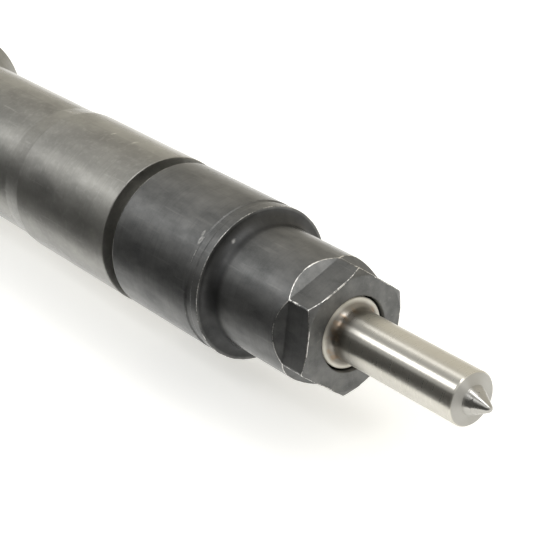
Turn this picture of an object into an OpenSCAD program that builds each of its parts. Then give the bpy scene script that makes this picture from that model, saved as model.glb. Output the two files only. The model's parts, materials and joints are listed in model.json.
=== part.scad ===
// Common-rail diesel fuel injector for a truck engine.
// It lies along X: the nozzle points to +X and the solenoid is at the -X end.
// The origin is the middle of the nozzle nut's front face.
// Every piece is drawn standing up, with z counted from that face towards the solenoid, then laid down.

/* [Nozzle] */
// Diameter of the nozzle's shaft
shaft_d = 7; // [6.8:0.1:7.2]
// How far the nozzle's tip stands out of the nut
nozzle_reach = 23.75; // [20:0.25:26]
// Number of spray holes
spray_holes = 8; // [5:1:10]
// Diameter of each spray hole
spray_hole_d = 0.12; // [0.1:0.01:0.16]
// Diameter of the needle where the nozzle guides it
needle_d = 4; // [3.8:0.05:4.1]
// How far the needle opens
needle_lift = 0.25; // [0.1:0.05:0.3]

/* [Nozzle nut] */
// Size of the hexagon across its flats
nut_flats = 15; // [14.4:0.1:15.6]
// Turn of the hexagon about the axis
nut_turn = 7.1; // [0:0.1:59.9]
// Diameter of the narrow front part
nut_nose_d = 17.2; // [17:0.1:17.6]
// Diameter of the wide rear part
nut_d = 21.32; // [21:0.02:22]
// Length of the nut
nut_len = 38; // [37:0.5:38.5]

/* [Body] */
// Diameter of the land that centres the body in the cylinder head
land_d = 21.48; // [21.3:0.02:22]
// Diameter of the shank behind the land
shank_d = 20.7; // [20:0.1:21.2]
// Where the thick rear head of the body starts
head_start = 98; // [92:1:110]
// Diameter of the head
head_d = 27; // [26.4:0.1:28]
// Width across the two flats that the clamp's fork straddles
fork_flats = 19.6; // [19:0.1:20.4]

/* [Control valve] */
// Diameter of the control piston's guided end
piston_d = 4.3; // [4.2:0.02:4.4]
// Diameter of the valve's ball
ball_d = 1.34; // [1.3:0.01:1.4]
// Lift of the valve's pin
valve_lift = 0.06; // [0.04:0.01:0.06]

/* [Solenoid] */
// Diameter of the armature's plate
armature_d = 16; // [14:0.2:16.6]
// Size of the solenoid nut across its flats
solenoid_flats = 29; // [28.6:0.1:30]

/* [Connections] */
// Outside diameter of the inlet's thread
inlet_d = 14; // [13:0.5:16]
// Outside diameter of the return pipe's barbs
barb_d = 8; // [7.4:0.1:9]
// Width of the electric socket's mouth
socket_w = 13.4; // [12.8:0.1:14]
// Height of the electric socket's mouth
socket_h = 9.4; // [9:0.1:9.8]

/* [Hidden] */

// Gaps: between fixed pieces, in a running fit, and between faces that part when a piece moves
fixed_gap = 0.05;
running_gap = 0.03;
face_gap = 0.03;
// Edge breaks, small and large
edge = 0.1;
chamfer = 0.3;
// Amount by which a cutting shape passes through what it cuts
over = 1;
// Number of sides that preview large, middling and small circles
fine = 96;
medium = 64;
coarse = 32;

// Nozzle
shaft_r = shaft_d / 2;
tip_z = -nozzle_reach;
tip_ball_r = 0.55;
cone_angle = 30;
cone_r = 1.95;
cone_z = tip_z + tip_ball_r * (1 - sin(cone_angle)) + (cone_r - tip_ball_r * cos(cone_angle)) / tan(cone_angle);
shaft_end_z = cone_z + 0.32;
collar_r = 4.75;
collar_z = 0.45;
collar_cove = 1.1;
barrel_r = 7.15;
barrel_z = 5.5;
joint_z = 23;
duct_r = 1.9;
sac_r = 0.5;
sac_z = tip_z + 2.375;
sac_end_z = tip_z + 1.85;
seat_z = sac_z + (duct_r - sac_r) / tan(cone_angle);
gallery_r = 3.4;
gallery_z = [6.5, 8, 10, 11.5];
spray_angle = 16;
spray_turn = -139.5;
needle_r = needle_d / 2;
needle_shaft_r = 1.5;
needle_tip_r = 0.4;
needle_gap = 0.046;
needle_stub_r = 1.25;
needle_top_z = 24.2;
dowel_r = 0.75;
dowel_pitch_r = 5.6;
dowel_turns = [115, 245];
dowel_z = [20, 26];
feed_r = 0.8;
feed_pitch_r = 5.7;
feed_end = [3.2, 9.5];

// Nozzle nut
nut_nose_r = nut_nose_d / 2;
nut_r = nut_d / 2;
nut_face_r = 7.7;
nut_hole_r = 5.03;
nut_flat_end = 4.2;
nut_cove = 1.8;
nut_shoulder_z = 18.3;
groove_z = [19.6, 20.9];
groove_depth = 0.15;
thread_r = 9.2;
thread_start = 22;

// Body
land_r = land_d / 2;
shank_r = shank_d / 2;
head_r = head_d / 2;
undercut_r = 8.8;
land_z = [39.9, 62.2];
shank_z = 66;
head_rise = 3;
spring_bore_r = 3.3;
spring_bore_end = 44.2;
piston_bore_r = 2.4;
ring_bore_r = 4.3;
fork_z = [head_start + 5, head_start + 13];
inlet_z = head_start + 22;
boss_r = 9;
boss_face = 18;
stub_hole_r = 5.05;
stub_hole_start = 9.5;
inlet_duct_r = 1.25;
ring_bore_z = head_start + 17.6;
valve_z = head_start + 38;
cup_r = 8.6;
neck_r = 12;
neck_z = valve_z + 1;
body_top = valve_z + 18;
head_ring_r = 1.15;
head_ring_z = head_start + 33.8;
head_groove = [2, 1.45];
solenoid_ring_r = 0.6;
solenoid_groove = [1.25, 0.75];
solenoid_ring_z = body_top - 2.75;
leak_r = 0.6;
leak_ends = [[-2, 60], [-7.9, valve_z + over]];

// Springs and control piston
pressure_flange_r = 2.9;
pressure_flange_h = 1.4;
pressure_top = 27;
shim_z = 43;
piston_r = piston_d / 2;
piston_rod_r = 1.7;
piston_body_r = 2;
piston_rod_end = 44;
chamber_top = valve_z - 1.8;
piston_top = chamber_top - needle_lift - 2 * face_gap;
piston_nose_h = 0.7;
piston_guide_h = 13;

// Control valve
sleeve_r = 4;
seal_ring_h = 1.5;
sleeve_z = ring_bore_z + seal_ring_h;
flange_r = 8.4;
flange_top = valve_z + 5;
throttle_r = 0.13;
throttle_seat_r = 0.7;
ball_r = ball_d / 2;
ball_z = flange_top - throttle_seat_r + ball_r * sqrt(2) + face_gap;
holder_r = 1.35;
holder_z = [flange_top + 0.45, flange_top + 1.9];
set_nut_top = flange_top + 6;
set_nut_hole_r = 5;
pin_r = 1.5;
pin_flange_r = 2.4;
pin_flange_top = holder_z[1] + 1.35;
guide_bottom = pin_flange_top + valve_lift + face_gap;
guide_flange_top = set_nut_top + 2;
guide_top = guide_flange_top + 1.6;
plate_z = [body_top - 1.4, body_top + 0.6];
clip_z = [plate_z[1] + 0.02, plate_z[1] + 0.4];
clip_groove_r = 1.25;
pin_top = clip_z[1] + 1;

// Solenoid
shim_h = 0.8;
core_z = body_top + shim_h;
core_top = core_z + 11.6;
core_r = 9.85;
core_bore_r = 2.6;
pole_r = 4.4;
coil_slot_r = 7.8;
coil_slot_top = core_z + 8.2;
coil_r = [5.1, 7.4];
bobbin_wall = 0.5;
housing_r = 10.9;
housing_flange_r = 11.9;
housing_flange_top = core_z + 2.4;
housing_top = core_top + 2;
boss_tube_r = 5;
boss_tube_top = housing_top + 6.8;
nipple_fit_r = 3;
seat_h = 0.8;
wire_place = [2.5, 5.6];
wire_hole_r = 0.75;

// Connections
cap_r = 12.6;
cap_z = [housing_flange_top + 3, boss_tube_top - 0.2];
blade_z = housing_top + 3.1;
blade = [1.5, 0.8];
blade_end = 25;
leg = 0.8;
socket_reach = 31;
socket_wall = 1.8;
socket_floor = 17;
nipple_bore_r = 1.5;
nipple_hex = 10;
nipple_hex_r = 5.6;
nipple_hex_h = 3;
barb_starts = [7, 11, 15];
nipple_top = boss_tube_top + 21;
stub_hex = 17;
stub_hex_r = 9.2;
stub_hex_top = boss_face + 6;
stub_top = boss_face + 19;
stub_relief = 1.2;
stub_cone = [4.7, 4.2];
filter_r = 2.2;
filter_top = boss_face + 12;
filter_slot_r = 0.35;

// Lays a piece that was drawn standing up along the X axis, nozzle end towards +X
module lay() { rotate([0, -90, 0]) children(); }

// Turned solid from an outline of [radius, height]
module turned(outline) { rotate_extrude($fn = fine) polygon(outline); }

// Cylinder about the axis between two heights
module round_bar(r, z0, z1) { translate([0, 0, z0]) cylinder(h = z1 - z0, r = r, $fn = medium); }

// Flat ring between two heights
module washer(r_in, r_out, z0, z1) {
    difference() {
        round_bar(r_out, z0, z1);
        round_bar(r_in, z0 - over, z1 + over);
    }
}

// Round hole or pin between two points given as [x, z]
module slanted_bar(r, from, to) {
    run = to - from;
    translate([from[0], 0, from[1]])
        rotate([0, atan2(run[0], run[1]), 0]) cylinder(h = norm(run), r = r, $fn = coarse);
}

// Cuts six flats, with 45 degree run-outs at the heights given by z0 and z1
module hexagon_cuts(flats, z0, z1, ramp, turn) {
    apothem = flats / 2;
    far = flats;
    for (i = [0:5]) {
        rotate([0, 0, turn + 30 + 60 * i]) rotate([90, 0, 0])
            linear_extrude(height = 2 * flats, center = true)
                polygon([
                    [apothem, z0], [apothem, z1], [apothem + ramp, z1 + ramp],
                    [far, z1 + ramp], [far, z0 - ramp], [apothem + ramp, z0 - ramp]
                ]);
    }
}

// Share of a spring's height reached at a share t of its winding, with closed end turns
function spring_rise(t, turns, share) =
    t * turns < 1 ? share * t * turns
    : (1 - t) * turns < 1 ? 1 - share * (1 - t) * turns
    : share + (1 - 2 * share) * (t * turns - 1) / (turns - 2);

// Round wire wound about the axis between two heights
module coil_spring(mean_r, wire_r, z0, z1, turns) {
    sides = 8;
    steps = 24;
    last = turns * steps;
    height = z1 - z0 - 2 * wire_r;
    share = 2.1 * wire_r / height;
    points = [
        for (i = [0:last], k = [0:sides - 1])
            let (
                around = 360 * i / steps,
                about = 360 * k / sides,
                r = mean_r + wire_r * cos(about),
                z = z0 + wire_r + height * spring_rise(i / last, turns, share) + wire_r * sin(about)
            )
            [r * cos(around), r * sin(around), z]
    ];
    walls = [
        for (i = [0:last - 1], k = [0:sides - 1], half = [0, 1])
            let (
                a = i * sides + k,
                b = i * sides + (k + 1) % sides
            )
            half == 0 ? [a, b, b + sides] : [a, b + sides, a + sides]
    ];
    ends = [
        [for (k = [sides - 1:-1:0]) k],
        [for (k = [0:sides - 1]) last * sides + k]
    ];
    polyhedron(points = points, faces = concat(walls, ends), convexity = 10);
}

// Rounded tip of the nozzle's half section: the part of a circle on one side of the axis
module half_disc(r, z) {
    intersection() {
        translate([0, z]) circle(r = r, $fn = fine);
        translate([0, z - r]) square([r, 2 * r]);
    }
}

// Concave corner of a half section: a square less a quarter circle
module cove(r0, z0, size) {
    difference() {
        translate([r0, z0]) square(size);
        translate([r0 + size, z0]) circle(r = size, $fn = fine);
    }
}

// The nozzle's outside half section
module nozzle_outline() {
    half_disc(tip_ball_r, tip_z + tip_ball_r);
    polygon([
        [0, tip_z + tip_ball_r * (1 - sin(cone_angle))],
        [tip_ball_r * cos(cone_angle), tip_z + tip_ball_r * (1 - sin(cone_angle))],
        [cone_r, cone_z],
        [shaft_r - 0.15, shaft_end_z],
        [shaft_r, shaft_end_z + 0.18],
        [shaft_r, collar_z],
        [collar_r - edge, collar_z],
        [collar_r, collar_z + edge],
        [collar_r, barrel_z],
        [barrel_r - chamfer, barrel_z],
        [barrel_r, barrel_z + chamfer],
        [barrel_r, joint_z - chamfer],
        [barrel_r - chamfer, joint_z],
        [0, joint_z]
    ]);
    cove(shaft_r, collar_z - collar_cove, collar_cove);
}

// The nozzle's hollow: sac, seat, duct, gallery and guide bore
module nozzle_hollow() {
    turned([
        [0, sac_end_z],
        [sac_r * 0.7, sac_end_z + 0.15],
        [sac_r, sac_end_z + 0.4],
        [sac_r, sac_z],
        [duct_r, seat_z],
        [duct_r, gallery_z[0]],
        [gallery_r, gallery_z[1]],
        [gallery_r, gallery_z[2]],
        [needle_r + running_gap, gallery_z[3]],
        [needle_r + running_gap, joint_z + over],
        [0, joint_z + over]
    ]);
}

module nozzle_body() {
    color("#b8b3a8") lay() difference() {
        rotate_extrude($fn = fine) nozzle_outline();
        nozzle_hollow();
        for (i = [0:spray_holes - 1]) {
            rotate([0, 0, spray_turn + 360 / spray_holes * i])
                translate([0, 0, sac_z + sac_r * tan(spray_angle) - 0.14])
                    rotate([0, 90 + spray_angle, 0]) cylinder(h = 4, d = spray_hole_d, $fn = 24);
        }
        slanted_bar(feed_r, [feed_pitch_r, joint_z + 0.2], feed_end);
        dowels(dowel_r + fixed_gap / 2, dowel_z[0] - fixed_gap, joint_z + over);
    }
}

module nozzle_needle() {
    color("#a9aaa8") lay() turned([
        [0, seat_z - (duct_r - needle_tip_r - needle_gap) / tan(cone_angle)],
        [needle_tip_r, seat_z - (duct_r - needle_tip_r - needle_gap) / tan(cone_angle)],
        [needle_shaft_r, seat_z - (duct_r - needle_shaft_r - needle_gap) / tan(cone_angle)],
        [needle_shaft_r, gallery_z[3] - 2],
        [needle_r, gallery_z[3] - 1],
        [needle_r, joint_z - 1],
        [needle_r - chamfer, joint_z - 0.7],
        [needle_stub_r, joint_z - 0.7],
        [needle_stub_r, needle_top_z],
        [0, needle_top_z]
    ]);
}

// The two dowels that key the nozzle to the body
module dowels(r, z0, z1) {
    for (turn = dowel_turns) {
        rotate([0, 0, turn]) translate([dowel_pitch_r, 0, 0]) round_bar(r, z0, z1);
    }
}

module dowel_pins() { color("#9a9a98") lay() dowels(dowel_r, dowel_z[0], dowel_z[1]); }

// The nut's outside half section
module nut_outline() {
    polygon([
        [0, 0],
        [nut_face_r, 0],
        [nut_nose_r, (nut_nose_r - nut_face_r) * tan(30)],
        [nut_nose_r, nut_shoulder_z],
        [nut_r - edge, nut_shoulder_z],
        [nut_r, nut_shoulder_z + edge],
        [nut_r, groove_z[0]],
        [nut_r - groove_depth, groove_z[0] + groove_depth],
        [nut_r - groove_depth, groove_z[1] - groove_depth],
        [nut_r, groove_z[1]],
        [nut_r, nut_len - 2 * chamfer],
        [nut_r - 2 * chamfer, nut_len],
        [0, nut_len]
    ]);
    cove(nut_nose_r, nut_shoulder_z - nut_cove, nut_cove);
}

module retaining_nut() {
    color("#4a4a4a") lay() difference() {
        rotate_extrude($fn = fine) nut_outline();
        hexagon_cuts(nut_flats, -over, nut_flat_end, 2, nut_turn);
        round_bar(nut_hole_r, -over, barrel_z + over);
        turned([[0, -over], [nut_hole_r + over + edge, -over], [nut_hole_r - 0.01, edge], [0, edge]]);
        round_bar(barrel_r + 2 * fixed_gap, barrel_z, thread_start + over);
        turned([
            [0, thread_start - 2],
            [barrel_r + 2 * fixed_gap, thread_start - 2],
            [thread_r + fixed_gap, thread_start],
            [thread_r + fixed_gap, nut_len - 2 * chamfer],
            [thread_r + fixed_gap + 3 * chamfer, nut_len + chamfer],
            [0, nut_len + chamfer]
        ]);
    }
}

// Head, boss and shank of the body, without its holes
module body_blank() {
    turned([
        [0, joint_z],
        [thread_r - 2 * chamfer, joint_z],
        [thread_r, joint_z + 2 * chamfer],
        [thread_r, nut_len - 1.2],
        [undercut_r, nut_len - 0.8],
        [undercut_r, land_z[0]],
        [land_r - edge, land_z[0]],
        [land_r, land_z[0] + edge],
        [land_r, land_z[1]],
        [shank_r, shank_z],
        [shank_r, head_start],
        [head_r - chamfer, head_start + head_rise],
        [head_r, head_start + head_rise + chamfer],
        [head_r, neck_z - 1],
        [head_r - 1, neck_z],
        [neck_r, neck_z],
        [neck_r, body_top - 2 * chamfer],
        [neck_r - 2 * chamfer, body_top],
        [0, body_top]
    ]);
    translate([0, 0, inlet_z]) rotate([0, 90, 0]) turned([
        [0, 0], [boss_r, 0], [boss_r, boss_face - 0.8], [boss_r - 0.8, boss_face], [0, boss_face]
    ]);
}

// Holes along and across the body
module body_hollow() {
    round_bar(spring_bore_r, joint_z - over, spring_bore_end);
    round_bar(piston_bore_r, spring_bore_end - over, ring_bore_z + over);
    round_bar(ring_bore_r, ring_bore_z, valve_z + over);
    round_bar(cup_r, valve_z, body_top + over);
    translate([feed_pitch_r, 0, 0]) round_bar(feed_r, joint_z - over, inlet_z);
    translate([0, 0, inlet_z]) rotate([0, 90, 0]) {
        round_bar(inlet_duct_r, piston_bore_r, stub_hole_start + over);
        round_bar(stub_hole_r, stub_hole_start, boss_face + over);
    }
    slanted_bar(leak_r, leak_ends[0], leak_ends[1]);
    dowels(dowel_r + fixed_gap / 2, joint_z - over, dowel_z[1] + fixed_gap);
}

// Groove for an O-ring; size is its depth and half its width
module ring_groove(r, size, z) { washer(r - size[0], r + over, z - size[1], z + size[1]); }

module injector_body() {
    color("#8f8e88") lay() difference() {
        body_blank();
        body_hollow();
        for (side = [-1, 1]) {
            translate([0, side * (fork_flats / 2 + head_r / 2), (fork_z[0] + fork_z[1]) / 2])
                cube([2 * head_d, head_r, fork_z[1] - fork_z[0]], center = true);
        }
        ring_groove(head_r, head_groove, head_ring_z);
        ring_groove(neck_r, solenoid_groove, solenoid_ring_z);
    }
}

module pressure_pin() {
    color("#a9aaa8") lay() turned([
        [0, needle_top_z],
        [pressure_flange_r - chamfer, needle_top_z],
        [pressure_flange_r, needle_top_z + chamfer],
        [pressure_flange_r, needle_top_z + pressure_flange_h],
        [piston_rod_r, needle_top_z + pressure_flange_h],
        [piston_rod_r, pressure_top - chamfer],
        [piston_rod_r - chamfer, pressure_top],
        [0, pressure_top]
    ]);
}

module nozzle_spring() {
    color("#8c8c8a") lay()
        coil_spring(2.58, 0.45, needle_top_z + pressure_flange_h + face_gap, shim_z - face_gap, 10);
}

module spring_shim() {
    color("#9a9a98") lay() washer(piston_body_r + 0.2, spring_bore_r - fixed_gap, shim_z, spring_bore_end);
}

module control_piston() {
    color("#b0b0ae") lay() turned([
        [0, pressure_top + face_gap],
        [piston_rod_r - chamfer, pressure_top + face_gap],
        [piston_rod_r, pressure_top + face_gap + chamfer],
        [piston_rod_r, piston_rod_end - chamfer],
        [piston_body_r, piston_rod_end],
        [piston_body_r, piston_top - piston_guide_h - chamfer],
        [piston_r, piston_top - piston_guide_h],
        [piston_r, piston_top - piston_nose_h],
        [0.8, piston_top],
        [0, piston_top]
    ]);
}

module valve_piece() {
    color("#a4a39e") lay() difference() {
        turned([
            [0, sleeve_z],
            [sleeve_r - chamfer, sleeve_z],
            [sleeve_r, sleeve_z + chamfer],
            [sleeve_r, valve_z],
            [flange_r - chamfer, valve_z],
            [flange_r, valve_z + chamfer],
            [flange_r, flange_top - chamfer],
            [flange_r - chamfer, flange_top],
            [0, flange_top]
        ]);
        round_bar(piston_r + running_gap, sleeve_z - over, chamber_top);
        round_bar(throttle_r, chamber_top - over, flange_top);
        translate([0, 0, flange_top - throttle_seat_r])
            cylinder(h = throttle_seat_r + 0.001, r1 = 0, r2 = throttle_seat_r, $fn = medium);
        translate([0, 0, piston_top + 0.1])
            rotate([-90, 0, 0]) cylinder(h = sleeve_r + over, r = throttle_r, $fn = 24);
        translate([leak_ends[1][0] - 0.4, 0, 0]) round_bar(1, valve_z - over, flange_top + over);
    }
}

module pressure_seal_ring() {
    color("#5a4632") lay()
        washer(piston_bore_r + 0.2, ring_bore_r - fixed_gap, ring_bore_z, sleeve_z);
}

module valve_set_nut() {
    color("#6e6d68") lay() difference() {
        turned([
            [set_nut_hole_r, flange_top],
            [flange_r - 1.6, flange_top],
            [cup_r - fixed_gap, flange_top + 1.6],
            [cup_r - fixed_gap, set_nut_top - chamfer],
            [cup_r - fixed_gap - chamfer, set_nut_top],
            [set_nut_hole_r, set_nut_top]
        ]);
        for (i = [0:1]) {
            rotate([0, 0, 45 + 90 * i])
                translate([0, 0, set_nut_top]) cube([3 * cup_r, 1.8, 2.8], center = true);
        }
    }
}

module valve_ball() { color("#c8c8c6") lay() translate([0, 0, ball_z]) sphere(r = ball_r, $fn = 48); }

module ball_holder() {
    color("#a9aaa8") lay() difference() {
        turned([
            [0, holder_z[0]],
            [holder_r - chamfer, holder_z[0]],
            [holder_r, holder_z[0] + chamfer],
            [holder_r, holder_z[1]],
            [0, holder_z[1]]
        ]);
        translate([0, 0, ball_z]) sphere(r = ball_r + 0.01, $fn = 48);
    }
}

module armature_pin() {
    color("#b0b0ae") lay() turned([
        [0, holder_z[1]],
        [pin_flange_r, holder_z[1]],
        [pin_flange_r, pin_flange_top],
        [pin_r, pin_flange_top],
        [pin_r, clip_z[0]],
        [clip_groove_r, clip_z[0]],
        [clip_groove_r, pin_top - chamfer],
        [clip_groove_r - chamfer, pin_top],
        [0, pin_top]
    ]);
}

module armature_guide() {
    color("#96958f") lay() difference() {
        turned([
            [0, guide_bottom],
            [3.2, guide_bottom],
            [3.6, set_nut_top],
            [cup_r - fixed_gap, set_nut_top],
            [cup_r - fixed_gap, guide_flange_top],
            [3, guide_flange_top],
            [3, guide_top],
            [0, guide_top]
        ]);
        round_bar(pin_r + running_gap, guide_bottom - over, guide_top + over);
        for (turn = [0:120:240]) {
            rotate([0, 0, turn]) translate([6.1, 0, 0]) round_bar(1.2, set_nut_top - over, guide_top);
        }
    }
}

module armature_spring() {
    color("#8c8c8a") lay() coil_spring(2.15, 0.2, guide_top + face_gap, plate_z[0] - face_gap, 3);
}

module armature_plate() {
    color("#7e7d78") lay() difference() {
        round_bar(armature_d / 2, plate_z[0], plate_z[1]);
        round_bar(pin_r + running_gap, plate_z[0] - over, plate_z[1] + over);
        for (turn = [0:60:300]) {
            rotate([0, 0, turn]) translate([armature_d / 2, 0, plate_z[0]]) cube([8, 1, 8], center = true);
        }
    }
}

module armature_clip() {
    color("#8c8c8a") lay() difference() {
        washer(clip_groove_r + 0.01, 2.35, clip_z[0], clip_z[1]);
        translate([0, -1.1, clip_z[0] - over]) cube([4, 2.2, 4]);
    }
}

module lift_shim() { color("#b0aea6") lay() washer(cup_r + chamfer, neck_r - 0.2, body_top, core_z); }

module magnet_core() {
    color("#5e5d5a") lay() difference() {
        round_bar(core_r, core_z, core_top);
        round_bar(core_bore_r, core_z - over, core_top - seat_h);
        round_bar(core_bore_r - 0.1, core_z, core_top + over);
        washer(pole_r, coil_slot_r, core_z - over, coil_slot_top);
        wire_holes();
    }
}

// Holes for the two wires that leave the coil
module wire_holes() {
    for (side = [-1, 1]) {
        translate([side * wire_place[0], -wire_place[1], 0])
            round_bar(wire_hole_r, coil_slot_top - over, housing_top + over);
    }
}

module coil_bobbin() {
    color("#2f2f31") lay() turned([
        [pole_r + fixed_gap, core_z + fixed_gap],
        [coil_slot_r - fixed_gap, core_z + fixed_gap],
        [coil_slot_r - fixed_gap, core_z + fixed_gap + bobbin_wall],
        [pole_r + fixed_gap + bobbin_wall, core_z + fixed_gap + bobbin_wall],
        [pole_r + fixed_gap + bobbin_wall, coil_slot_top - fixed_gap - bobbin_wall],
        [coil_slot_r - fixed_gap, coil_slot_top - fixed_gap - bobbin_wall],
        [coil_slot_r - fixed_gap, coil_slot_top - fixed_gap],
        [pole_r + fixed_gap, coil_slot_top - fixed_gap]
    ]);
}

module solenoid_coil() {
    color("#b5651d") lay() washer(
        coil_r[0], coil_r[1],
        core_z + 2 * fixed_gap + bobbin_wall, coil_slot_top - 2 * fixed_gap - bobbin_wall
    );
}

module solenoid_spring() {
    color("#8c8c8a") lay()
        coil_spring(1.72, 0.3, clip_z[1] + face_gap, core_top - seat_h - face_gap, 8);
}

module spring_seat() {
    color("#9a9a98") lay() washer(0.9, core_bore_r - 0.15, core_top - seat_h, core_top);
}

module magnet_housing() {
    color("#76756f") lay() difference() {
        turned([
            [core_r + fixed_gap, core_z],
            [housing_flange_r - edge, core_z],
            [housing_flange_r, core_z + edge],
            [housing_flange_r, housing_flange_top - edge],
            [housing_flange_r - edge, housing_flange_top],
            [housing_r, housing_flange_top],
            [housing_r, housing_top - chamfer],
            [housing_r - chamfer, housing_top],
            [boss_tube_r, housing_top],
            [boss_tube_r, boss_tube_top - chamfer],
            [boss_tube_r - chamfer, boss_tube_top],
            [0, boss_tube_top],
            [0, core_top],
            [core_r + fixed_gap, core_top]
        ]);
        round_bar(nipple_bore_r, core_top - over, boss_tube_top);
        round_bar(nipple_fit_r, housing_top, boss_tube_top + over);
        wire_holes();
    }
}

// O-ring that sits in a groove with a floor of the given radius
module o_ring(floor_r, ring_r, z) {
    translate([0, 0, z])
        rotate_extrude($fn = fine) translate([floor_r + ring_r + 0.02, 0]) circle(r = ring_r, $fn = coarse);
}

module solenoid_o_ring() {
    color("#1d1d1d") lay() o_ring(neck_r - solenoid_groove[0], solenoid_ring_r, solenoid_ring_z);
}

module solenoid_nut() {
    apothem = solenoid_flats / 2;
    outer_r = apothem + 1.6;
    nut_z = [neck_z + 1.5, housing_flange_top + 2.4];
    skirt_z = nut_z[1] - 5;
    color("#55544f") lay() difference() {
        turned([
            [0, nut_z[0]],
            [outer_r - 1.5, nut_z[0]],
            [outer_r, nut_z[0] + 1.5 * tan(30)],
            [outer_r, skirt_z],
            [apothem, skirt_z + 1],
            [apothem, nut_z[1] - 1],
            [apothem - 1, nut_z[1]],
            [0, nut_z[1]]
        ]);
        hexagon_cuts(solenoid_flats, nut_z[0] - over, nut_z[1] + over, 3, 0);
        round_bar(neck_r + fixed_gap, nut_z[0] - over, housing_flange_top);
        round_bar(housing_r + fixed_gap, housing_flange_top - over, nut_z[1] + over);
    }
}

module head_o_ring() {
    color("#1d1d1d") lay() o_ring(head_r - head_groove[0], head_ring_r, head_ring_z);
}

// The two contact blades, each with the leg that goes down to the coil, grown by a gap
module blades(gap) {
    for (side = [-1, 1]) {
        translate([side * wire_place[0] - blade[0] / 2 - gap, -blade_end - gap, blade_z - gap])
            cube([blade[0] + 2 * gap, blade_end - wire_place[1] + leg / 2 + 2 * gap, blade[1] + 2 * gap]);
        translate([side * wire_place[0] - leg / 2 - gap, -wire_place[1] - leg / 2 - gap, coil_slot_top])
            cube([leg + 2 * gap, leg + 2 * gap, blade_z - coil_slot_top + blade[1] / 2]);
    }
}

// Block with rounded edges along Y, from y0 to y1, centred on x = 0 and on height z
module socket_block(width, height, corner, y0, y1, z) {
    translate([0, y0, z]) rotate([-90, 0, 0]) linear_extrude(height = y1 - y0) {
        square([width - 2 * corner, height], center = true);
        square([width, height - 2 * corner], center = true);
        for (sx = [-1, 1], sy = [-1, 1]) {
            translate([sx * (width / 2 - corner), sy * (height / 2 - corner)]) circle(r = corner, $fn = coarse);
        }
    }
}

module connector_housing() {
    mouth_z = blade_z + blade[1] / 2;
    outer_w = socket_w + 2 * socket_wall;
    outer_h = socket_h + 2 * socket_wall;
    color("#232426") lay() difference() {
        union() {
            turned([
                [0, cap_z[0]],
                [cap_r - chamfer, cap_z[0]],
                [cap_r, cap_z[0] + chamfer],
                [cap_r, cap_z[1] - 1.5],
                [cap_r - 1.5, cap_z[1]],
                [0, cap_z[1]]
            ]);
            socket_block(outer_w, outer_h, 2, -socket_reach, -8, mouth_z);
            socket_block(outer_w + 2.4, outer_h + 2.4, 2.6, -socket_floor - 0.8, -socket_floor + 1.4, mouth_z);
            translate([-2.5, -socket_floor - 10, mouth_z + outer_h / 2 - 0.5]) cube([5, 4, 2]);
        }
        round_bar(housing_r + fixed_gap, cap_z[0] - over, housing_top + fixed_gap);
        round_bar(boss_tube_r + fixed_gap, housing_top, cap_z[1] + over);
        socket_block(socket_w, socket_h, 1.2, -socket_reach - over, -socket_floor, mouth_z);
        blades(fixed_gap / 2);
    }
}

module connector_pins() { color("#c9c7bd") lay() blades(0); }

module return_nipple() {
    barb_r = barb_d / 2;
    tube_r = barb_r - 1;
    z0 = boss_tube_top;
    fit_r = nipple_fit_r - fixed_gap;
    color("#9b9a94") lay() difference() {
        turned(concat(
            [[0, housing_top + over], [fit_r, housing_top + over], [fit_r, z0]],
            [[nipple_hex_r, z0], [nipple_hex_r, z0 + nipple_hex_h], [tube_r, z0 + nipple_hex_h]],
            [for (start = barb_starts, barb = [false, true]) [barb ? barb_r : tube_r, z0 + start]],
            [[tube_r - 0.4, nipple_top], [0, nipple_top]]
        ));
        hexagon_cuts(nipple_hex, z0 + 0.01, z0 + nipple_hex_h - 0.01, 0.8, 0);
        round_bar(nipple_bore_r, housing_top, nipple_top + over);
    }
}

module inlet_stub() {
    stub_r = inlet_d / 2;
    fit_r = stub_hole_r - fixed_gap;
    color("#8d8c86") lay() translate([0, 0, inlet_z]) rotate([0, 90, 0]) difference() {
        turned([
            [0, stub_hole_start + fixed_gap],
            [fit_r, stub_hole_start + fixed_gap],
            [fit_r, boss_face],
            [stub_hex_r, boss_face],
            [stub_hex_r, stub_hex_top - 0.8],
            [stub_hex_r - 1, stub_hex_top],
            [stub_r - stub_relief, stub_hex_top],
            [stub_r - stub_relief, stub_hex_top + 1],
            [stub_r, stub_hex_top + 2],
            [stub_r, stub_top - 1],
            [stub_r - 1, stub_top],
            [0, stub_top]
        ]);
        hexagon_cuts(stub_hex, boss_face - over, stub_hex_top + over, 0, 0);
        round_bar(inlet_duct_r, stub_hole_start, stub_top);
        round_bar(filter_r, boss_face - 2, stub_top);
        translate([0, 0, stub_top - stub_cone[1]])
            cylinder(h = stub_cone[1] + 0.1, r1 = filter_r, r2 = stub_cone[0], $fn = medium);
    }
}

module edge_filter() {
    color("#b9975b") lay() translate([0, 0, inlet_z]) rotate([0, 90, 0]) difference() {
        round_bar(filter_r - running_gap, boss_face - 1.9, filter_top);
        for (turn = [0:60:300]) {
            rotate([0, 0, turn]) translate([filter_r, 0, 0]) round_bar(filter_slot_r, boss_face, filter_top + over);
        }
    }
}

nozzle_body();
nozzle_needle();
dowel_pins();
retaining_nut();
injector_body();
pressure_pin();
nozzle_spring();
spring_shim();
control_piston();
valve_piece();
pressure_seal_ring();
valve_set_nut();
valve_ball();
ball_holder();
armature_pin();
armature_guide();
armature_spring();
armature_plate();
armature_clip();
lift_shim();
magnet_core();
coil_bobbin();
solenoid_coil();
solenoid_spring();
spring_seat();
magnet_housing();
solenoid_o_ring();
solenoid_nut();
head_o_ring();
connector_housing();
connector_pins();
return_nipple();
inlet_stub();
edge_filter();
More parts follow.
